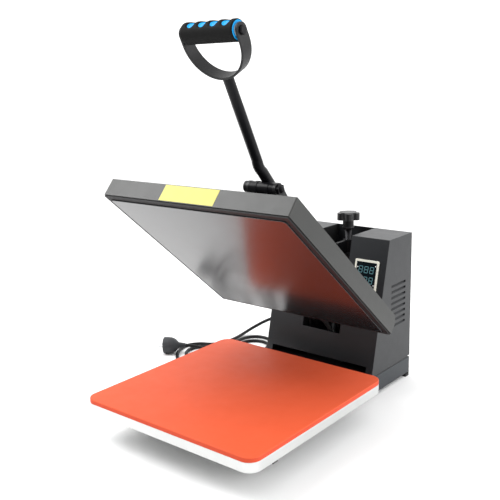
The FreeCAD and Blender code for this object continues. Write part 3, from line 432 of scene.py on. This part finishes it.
bmesh.ops.bevel(pad_shape, geom=rim, offset=top_radius, affect="EDGES", segments=4, profile=0.5, material=-1)
pad = settle("orange_pad", [pad_shape], silicone, "frame", 50, ["silicone_pad"])

# ---- inner frame, arm and springs ----
# Laser-cut steel plates, painted black, carry the arm pivot and the screw's bridge.
# Two steel coil springs hook the arm's tail down to an anchor bar on the deck.
coat_nodes(frame_paint, "side_plate_right", "side_plate_left", "screw_bridge", "spring_anchor", "arm_right",
           "arm_left", "arm_ties", "platen_bracket", "toggle_link")
coat_nodes(zinc, "arm_pivot_bolts", "platen_studs", "trunnion_block", "crank_pin")
spring_low, spring_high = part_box("return_springs")
coil_wire = 0.0011
coil_turns = 17
turn_steps = 20
coil_radius = (spring_high.y - spring_low.y) / 2 - coil_wire
coil_middle = (spring_high.y + spring_low.y) / 2
coil_x = spring_high.x - coil_radius - coil_wire
coils = []
for side in (-1, 1):
    coil = bmesh.new()
    ring = bmesh.ops.create_circle(coil, cap_ends=False, radius=coil_wire, segments=8)["verts"]
    bmesh.ops.rotate(coil, verts=ring, cent=(0, 0, 0), matrix=Matrix.Rotation(math.pi / 2, 3, "X"))
    bmesh.ops.translate(coil, verts=ring, vec=(coil_radius, 0, 0))
    steps = coil_turns * turn_steps
    rise = (spring_high.z - spring_low.z - 2 * coil_wire) / steps
    bmesh.ops.spin(coil, geom=coil.verts[:] + coil.edges[:], cent=(0, 0, 0), axis=(0, 0, 1),
                   dvec=(0, 0, rise), angle=2 * math.pi * coil_turns, steps=steps, use_merge=False,
                   use_duplicate=False)
    bmesh.ops.holes_fill(coil, edges=[e for e in coil.edges if e.is_boundary])
    bmesh.ops.translate(coil, verts=coil.verts, vec=(side * coil_x, coil_middle, spring_low.z + coil_wire))
    bmesh.ops.recalc_face_normals(coil, faces=coil.faces)
    coils.append(coil)
springs = settle("coil_springs", coils, zinc, None, 60, ["return_springs"])
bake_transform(springs)

# ---- tower ----
# Folded sheet steel with a central channel, powder coated in fine satin black.
# Slots with louvres behind them let the electronics breathe, and a screwed panel closes the back.
powder = paint("tower_powder", (0.013, 0.014, 0.016), (0.019, 0.021, 0.024), 0.36, 0.00007, 0.42)
channel_powder = paint("channel_powder", (0.006, 0.006, 0.006), (0.009, 0.009, 0.010), 0.42, 0.00007)
rounded_copy("tower_housing", "tower_shell", "frame", powder, 0.0005)
vent_top, vent_pitch, vent_count = 0.211, 0.0118, 8
vent_height, vent_length = 0.0046, 0.057
vent_start = pad_y + 0.324
wall_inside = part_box("tower_shell")[1].x - 0.0015
louvre_reach, louvre_rise, louvre_thickness = 0.0045, 0.0052, 0.0012
louvres = []
for side in (-1, 1):
    for row in range(vent_count):
        foot = vent_top - row * vent_pitch - vent_height / 2
        tip_x, tip_z = wall_inside - louvre_reach, foot + louvre_rise
        section = ((wall_inside, foot - louvre_thickness), (wall_inside, foot), (tip_x, tip_z),
                   (tip_x, tip_z - louvre_thickness))
        blade = bmesh.new()
        ends = [[blade.verts.new((side * x, y, z)) for x, z in section]
                for y in (vent_start, vent_start + vent_length)]
        blade.faces.new(ends[0])
        blade.faces.new(ends[1])
        for one in range(4):
            two = (one + 1) % 4
            blade.faces.new((ends[0][one], ends[0][two], ends[1][two], ends[1][one]))
        bmesh.ops.recalc_face_normals(blade, faces=blade.faces)
        louvres.append(blade)
settle("vent_louvres", louvres, powder, "frame")
coat_nodes(powder, "rear_panel")
coat_nodes(channel_powder, "channel_wall_right", "channel_wall_left", "shell_brackets")
coat_nodes(zinc, "panel_screws")

# ---- heated platen ----
# A cast aluminium plate with a dark glossy non-stick face, an element on its back and wool over that.
# A folded powder-coated cover with a black seal hides them, with a blank yellow film on its front.
non_stick = Finish("non_stick_face", {"Specular IOR Level": 0.8, "Coat Weight": 0.32, "Coat Roughness": 0.14})
non_stick_tone = non_stick.between(non_stick.noise(0.08), (0.010, 0.0105, 0.012), (0.016, 0.017, 0.019))
non_stick.feed("Base Color", non_stick_tone)
non_stick.feed("Roughness", 0.17 + 0.08 * non_stick.noise(0.03))
non_stick.relief(non_stick.noise(0.003), 0.00002)
rounded_copy("heated_plate", "heat_plate", "press_arm", non_stick, 0.0007)
cover_powder = paint("cover_powder", (0.024, 0.025, 0.024), (0.030, 0.031, 0.029), 0.32, 0.00007, 0.40)
rounded_copy("platen_cover", "upper_cover", "press_arm", cover_powder, 0.0006)
coat_nodes(rubber("seal_rubber", (0.008, 0.008, 0.009), (0.016, 0.016, 0.017), 0.5), "edge_seal")
element_steel = metal("element_steel", (0.30, 0.27, 0.24), (0.42, 0.40, 0.38), 0.4)
coat_nodes(element_steel, "heater_element", "temperature_probe")
wool = Finish("ceramic_wool", {"Roughness": 0.95})
wool.feed("Base Color", wool.between(wool.noise(0.004, 6.0), (0.70, 0.68, 0.63), (0.86, 0.85, 0.81)))
wool.relief(wool.noise(0.003, 6.0), 0.0008)
coat_nodes(wool, "insulation_sheet")
film = Finish("yellow_film", {"Specular IOR Level": 0.4})
film.feed("Base Color", film.between(film.noise(0.02), (0.54, 0.51, 0.085), (0.59, 0.55, 0.10)))
film.feed("Roughness", 0.35 + 0.1 * film.noise(0.01))
coat_nodes(film, "cover_label")

# ---- toggle lever ----
# A bent steel tube welded to a cross tube, with a cheek at each side, that turns about a long bolt.
# All of it is painted satin black. The bolt has a round head on the left and a domed nut on the right.
lever_paint = paint("lever_paint", (0.004, 0.004, 0.005), (0.007, 0.007, 0.009), 0.30, 0.00004, 0.16)
coat_nodes(lever_paint, "handle_tube", "lever_fork", "lever_pivot_bolt")

# ---- D grip ----
# A flat steel strap bent into a D and welded to the tube, with a bolt across it.
# The grip is blue foam under a thin black skin, cut through in four finger scallops.
strap_paint = paint("strap_paint", (0.010, 0.010, 0.011), (0.016, 0.016, 0.017), 0.38, 0.00006, 0.24)
rounded_copy("d_strap", "grip_strap", "lever", strap_paint, 0.0008)
bolt_low, bolt_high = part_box("grip_bolt")
grip_y = (bolt_low.y + bolt_high.y) / 2
grip_z = (bolt_low.z + bolt_high.z) / 2
foam_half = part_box("grip_foam")[1].x
foam_radius = 0.0178
core_radius = 0.0155
lean = math.radians(26.2)
outward = Vector((0, -math.sin(lean), math.cos(lean)))
scallop_radius = 0.012
scallop_pitch = 0.0246
scallop_depth = 0.005
foam_bore = core_radius - 0.009
rounding = 0.003
rounding_steps = 4
foam_runs = 110

grip_foam = Finish("two_colour_foam", {"Specular IOR Level": 0.12})
spot = [grip_foam.node("SeparateXYZ", values={0: grip_foam.place}, out=axis) for axis in (1, 2)]
from_axis = ((spot[0] - grip_y) ** 2 + (spot[1] - grip_z) ** 2) ** 0.5
skin = from_axis > core_radius
cells = grip_foam.noise(0.0012, 3.0)
blue = grip_foam.between(cells, (0.010, 0.33, 0.82), (0.020, 0.46, 0.92))
grip_foam.feed("Base Color", grip_foam.between(skin, blue, (0.006, 0.006, 0.006)))
grip_foam.feed("Roughness", 0.60 + 0.2 * cells)
grip_foam.relief(cells, 0.00012)
foam_outline = [(foam_bore, -foam_half), (foam_radius - rounding, -foam_half)]
for step in range(1, rounding_steps + 1):
    swing = step * math.pi / 2 / rounding_steps
    foam_outline.append((foam_radius - rounding + rounding * math.sin(swing),
                         -foam_half + rounding * (1 - math.cos(swing))))
foam_end = foam_outline[:]
reach = foam_half - rounding
foam_outline += [(foam_radius, -reach + 2 * reach * run / foam_runs) for run in range(1, foam_runs)]
foam_outline += [(r, -along) for r, along in reversed(foam_end)]
foam = lathe(foam_outline, (0, 0, 0), (1, 0, 0), 72)
for knot in foam.verts:
    height = knot.co.dot(outward)
    for number in range(4):
        middle = (number - 1.5) * scallop_pitch
        centre = foam_radius + scallop_radius - scallop_depth
        inside = scallop_radius ** 2 - (knot.co.x - middle) ** 2
        if inside > 0 and height > centre - math.sqrt(inside):
            knot.co -= outward * (height - centre + math.sqrt(inside))
bmesh.ops.smooth_vert(foam, verts=foam.verts, factor=0.4, use_axis_x=True, use_axis_y=True,
                      use_axis_z=True)
bmesh.ops.translate(foam, verts=foam.verts, vec=(0, grip_y, grip_z))
bmesh.ops.recalc_face_normals(foam, faces=foam.faces)
grip = settle("foam_grip", [foam], grip_foam, "lever", 60, ["grip_foam"])
coat_nodes(rubber("grip_core_plastic", (0.010, 0.30, 0.75), (0.014, 0.36, 0.85), 0.4), "grip_core")


def plastic(name, dark, pale, roughness):
    finish = Finish(name, {"Specular IOR Level": 0.5})
    finish.feed("Base Color", finish.between(finish.noise(0.02), dark, pale))
    finish.feed("Roughness", roughness + 0.1 * finish.noise(0.006))
    finish.relief(finish.noise(0.0007), 0.00003)
    return finish


washer_from, washer_to = 0.055, 0.0585      # how far out from the grip's middle the washers lie


def grip_hardware(washers):
    """A copy of the grip's bolt and washers, keeping only the washers or only the bolt."""
    shape = bmesh.new()
    shape.from_mesh(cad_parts["grip_bolt"].data)
    bmesh.ops.remove_doubles(shape, verts=shape.verts, dist=2e-6)
    other = [f for f in shape.faces
             if all(washer_from < abs(v.co.x) < washer_to for v in f.verts) != washers]
    bmesh.ops.delete(shape, geom=other, context="FACES")
    return shape


nylon = plastic("nylon_washer", (0.42, 0.38, 0.31), (0.50, 0.46, 0.38), 0.4)
settle("grip_washers", [grip_hardware(True)], nylon, "lever")
settle("grip_end_bolt", [grip_hardware(False)], lever_paint, "lever", replaced=["grip_bolt"])

# ---- pressure screw ----
# A dark steel screw with a 2 mm thread passes down through the bridge to the trunnion block.
# A black star knob is moulded on its top, over a lock nut.
rod_low, rod_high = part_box("threaded_rod")
rod_y = (rod_low.y + rod_high.y) / 2
rod_steel = metal("screw_steel", (0.05, 0.05, 0.053), (0.08, 0.08, 0.085), 0.3)
thread_radius = 0.0069
thread_root = 0.0060
thread_pitch = 0.002
thread_steps = 24
thread_turns = int((rod_high.z - rod_low.z - 0.001) / thread_pitch)
thread = bmesh.new()
tooth_outline = ((thread_root, 0), (thread_radius, thread_pitch / 2), (thread_root, thread_pitch))
tooth = [thread.verts.new((r, 0, z)) for r, z in tooth_outline]
for first, second in zip(tooth, tooth[1:]):
    thread.edges.new((first, second))
bmesh.ops.spin(thread, geom=thread.verts[:] + thread.edges[:], cent=(0, 0, 0), axis=(0, 0, 1),
               dvec=(0, 0, thread_pitch / thread_steps), angle=2 * math.pi * (thread_turns - 1),
               steps=thread_steps * (thread_turns - 1), use_merge=False, use_duplicate=False)
bmesh.ops.remove_doubles(thread, verts=thread.verts, dist=1e-5)
bmesh.ops.holes_fill(thread, edges=[e for e in thread.edges if e.is_boundary])
bmesh.ops.recalc_face_normals(thread, faces=thread.faces)
bmesh.ops.translate(thread, verts=thread.verts, vec=(0, rod_y, rod_low.z))
hub_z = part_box("pressure_knob")[0].z
nut_radius, nut_height = 0.0127, 0.0055
lock_nut = bmesh.new()
bmesh.ops.create_cone(lock_nut, cap_ends=True, segments=6, radius1=nut_radius, radius2=nut_radius,
                      depth=nut_height)
bmesh.ops.bevel(lock_nut, geom=lock_nut.edges[:], offset=0.0005, affect="EDGES", segments=2, profile=0.5,
                material=-1)
bmesh.ops.translate(lock_nut, verts=lock_nut.verts, vec=(0, rod_y, hub_z - nut_height / 2))
settle("screw_and_nut", [thread, lock_nut], rod_steel, "pressure_screw", 30, ["threaded_rod"])

black_plastic = plastic("black_plastic", (0.008, 0.008, 0.009), (0.013, 0.013, 0.014), 0.32)
rounded_copy("star_knob", "pressure_knob", "pressure_screw", black_plastic, 0.0012, 3)

# ---- controller ----
# A cream plastic bezel clips a temperature and time controller into the right half of the tower.
# Two rows of dim digits and three pilot dots show through its dark window, and three keys sit under it.
cream = plastic("cream_bezel", (0.80, 0.79, 0.68), (0.88, 0.87, 0.77), 0.36)
rounded_copy("cream_bezel", "controller_bezel", "frame", cream, 0.0005)
glass = Finish("dark_window", {"Specular IOR Level": 0.5})
glass.feed("Base Color", glass.between(glass.noise(0.01), (0.003, 0.006, 0.008), (0.006, 0.011, 0.014)))
glass.feed("Roughness", 0.06 + 0.05 * glass.noise(0.004))
coat_nodes(glass, "display_window")
key_plastic = plastic("key_plastic", (0.16, 0.17, 0.18), (0.24, 0.25, 0.26), 0.4)
coat_nodes(key_plastic, "key_down", "key_set", "key_up")
coat_nodes(black_plastic, "controller_case", "relay", "switch_housing", "fuse_holder", "power_rocker")
coat_nodes(plastic("board_green", (0.015, 0.14, 0.06), (0.03, 0.22, 0.09), 0.4), "circuit_board")

window_low, window_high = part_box("display_window")
tilt = math.radians(13.6)
face_up = Vector((0, math.sin(tilt), math.cos(tilt)))
face_out = Vector((0, -math.cos(tilt), math.sin(tilt)))
digits_proud = 0.0012
window_middle = (window_low + window_high) / 2 + face_out * digits_proud
chip_thickness = 0.0002
lean_back = Matrix((Vector((1, 0, 0)), face_up, face_out)).transposed()


def chip(across_x, along_up, width, height):
    """One lit bar or dot just proud of the window, placed from the window's middle."""
    bar = bmesh.new()
    bmesh.ops.create_cube(bar, size=1)
    bmesh.ops.scale(bar, verts=bar.verts, vec=(width, height, chip_thickness))
    bmesh.ops.translate(bar, verts=bar.verts, vec=(across_x, along_up, 0))
    bmesh.ops.rotate(bar, verts=bar.verts, cent=(0, 0, 0), matrix=lean_back)
    bmesh.ops.translate(bar, verts=bar.verts, vec=window_middle)
    return bar


digit_width, digit_height, digit_pitch = 0.0076, 0.0122, 0.0124
digit_lean = 0.0006         # how far a digit's top bar leans to the right
bar_width = 0.0013
digit_rows = (0.0111, -0.0094)
lit = []
for row_z in digit_rows:
    for column in (-1, 0, 1):
        x = column * digit_pitch
        for end in (-1, 0, 1):
            bar_z = row_z + end * digit_height / 2
            lit.append(chip(x + digit_lean * end, bar_z, digit_width, bar_width))
        for side in (-1, 1):
            for half in (-1, 1):
                bar_x = x + side * digit_width / 2 + digit_lean * half * 0.5
                bar_z = row_z + half * digit_height / 4
                lit.append(chip(bar_x, bar_z, bar_width, digit_height / 2 - bar_width))
digit_glow = Finish("dim_digits", {"Base Color": (0.01, 0.03, 0.035, 1), "Emission Strength": 0.35})
digit_tone = digit_glow.between(digit_glow.noise(0.004), (0.16, 0.42, 0.48), (0.26, 0.55, 0.60))
digit_glow.feed("Emission Color", digit_tone)
settle("display_digits", lit, digit_glow, "frame")
dot_width = 0.0017
dot_places = ((-0.0195, 0.0150), (0.0200, 0.0200), (0.0200, -0.0180))
dots = [chip(x, z, dot_width, dot_width) for x, z in dot_places]
dot_glow = Finish("pilot_dots", {"Base Color": (0.8, 0.8, 0.8, 1), "Emission Strength": 0.6})
dot_tone = dot_glow.between(dot_glow.noise(0.002), (0.75, 0.78, 0.80), (0.9, 0.92, 0.94))
dot_glow.feed("Emission Color", dot_tone)
settle("pilot_dots", dots, dot_glow, "frame")

# ---- heater lead ----
# A black corrugated sleeve carries the element's wires from the cover down behind the deck.
# It is clipped at both ends.
sleeve_low, sleeve_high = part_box("heater_conduit")
sleeve_x = (sleeve_low.x + sleeve_high.x) / 2
sleeve_radius = (sleeve_high.x - sleeve_low.x) / 2
rib_depth = 0.0007
rib_steps = 4               # rings to each rib
bend_steps = 36             # rings to each bend
ring_points = 20
sleeve_route = ((0.10055, 0.17814), (0.12165, 0.15974), (0.14855, 0.138), (0.17455, 0.108), (0.18455, 0.075),
                (0.18455, 0.0475))
sleeve_knots = [Vector((sleeve_x, y, z)) for y, z in sleeve_route]
halfway = [(first + second) / 2 for first, second in zip(sleeve_knots, sleeve_knots[1:])]
stations = [sleeve_knots[0]] + halfway[1:-1] + [sleeve_knots[-1]]
sleeve_line = []
for first, bend, second in zip(stations, sleeve_knots[1:-1], stations[1:]):
    for step in range(bend_steps):
        t = step / bend_steps
        sleeve_line.append((1 - t) ** 2 * first + 2 * t * (1 - t) * bend + t ** 2 * second)
sleeve_line.append(sleeve_knots[-1])
sleeve = bmesh.new()
sideways = Vector((1, 0, 0))
turns = [2 * math.pi * share / ring_points for share in range(ring_points)]
rings = []
for number, here in enumerate(sleeve_line):
    before = sleeve_line[max(number - 1, 0)]
    after = sleeve_line[min(number + 1, len(sleeve_line) - 1)]
    outwards = sideways.cross((after - before).normalized())
    girth = sleeve_radius - (rib_depth if number % rib_steps > 1 else 0)
    spokes = [math.cos(turn) * sideways + math.sin(turn) * outwards for turn in turns]
    rings.append([sleeve.verts.new(here + girth * spoke) for spoke in spokes])
for ring, following in zip(rings, rings[1:]):
    for one in range(ring_points):
        two = (one + 1) % ring_points
        sleeve.faces.new((ring[one], ring[two], following[two], following[one]))
sleeve.faces.new(rings[0])
sleeve.faces.new(rings[-1])
bmesh.ops.recalc_face_normals(sleeve, faces=sleeve.faces)
conduit_rubber = rubber("conduit_sleeve", (0.008, 0.008, 0.008), (0.016, 0.016, 0.017), 0.5)
heater_sleeve = settle("heater_sleeve", [sleeve], conduit_rubber, None, 50,
                       ["heater_conduit"])
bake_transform(heater_sleeve)
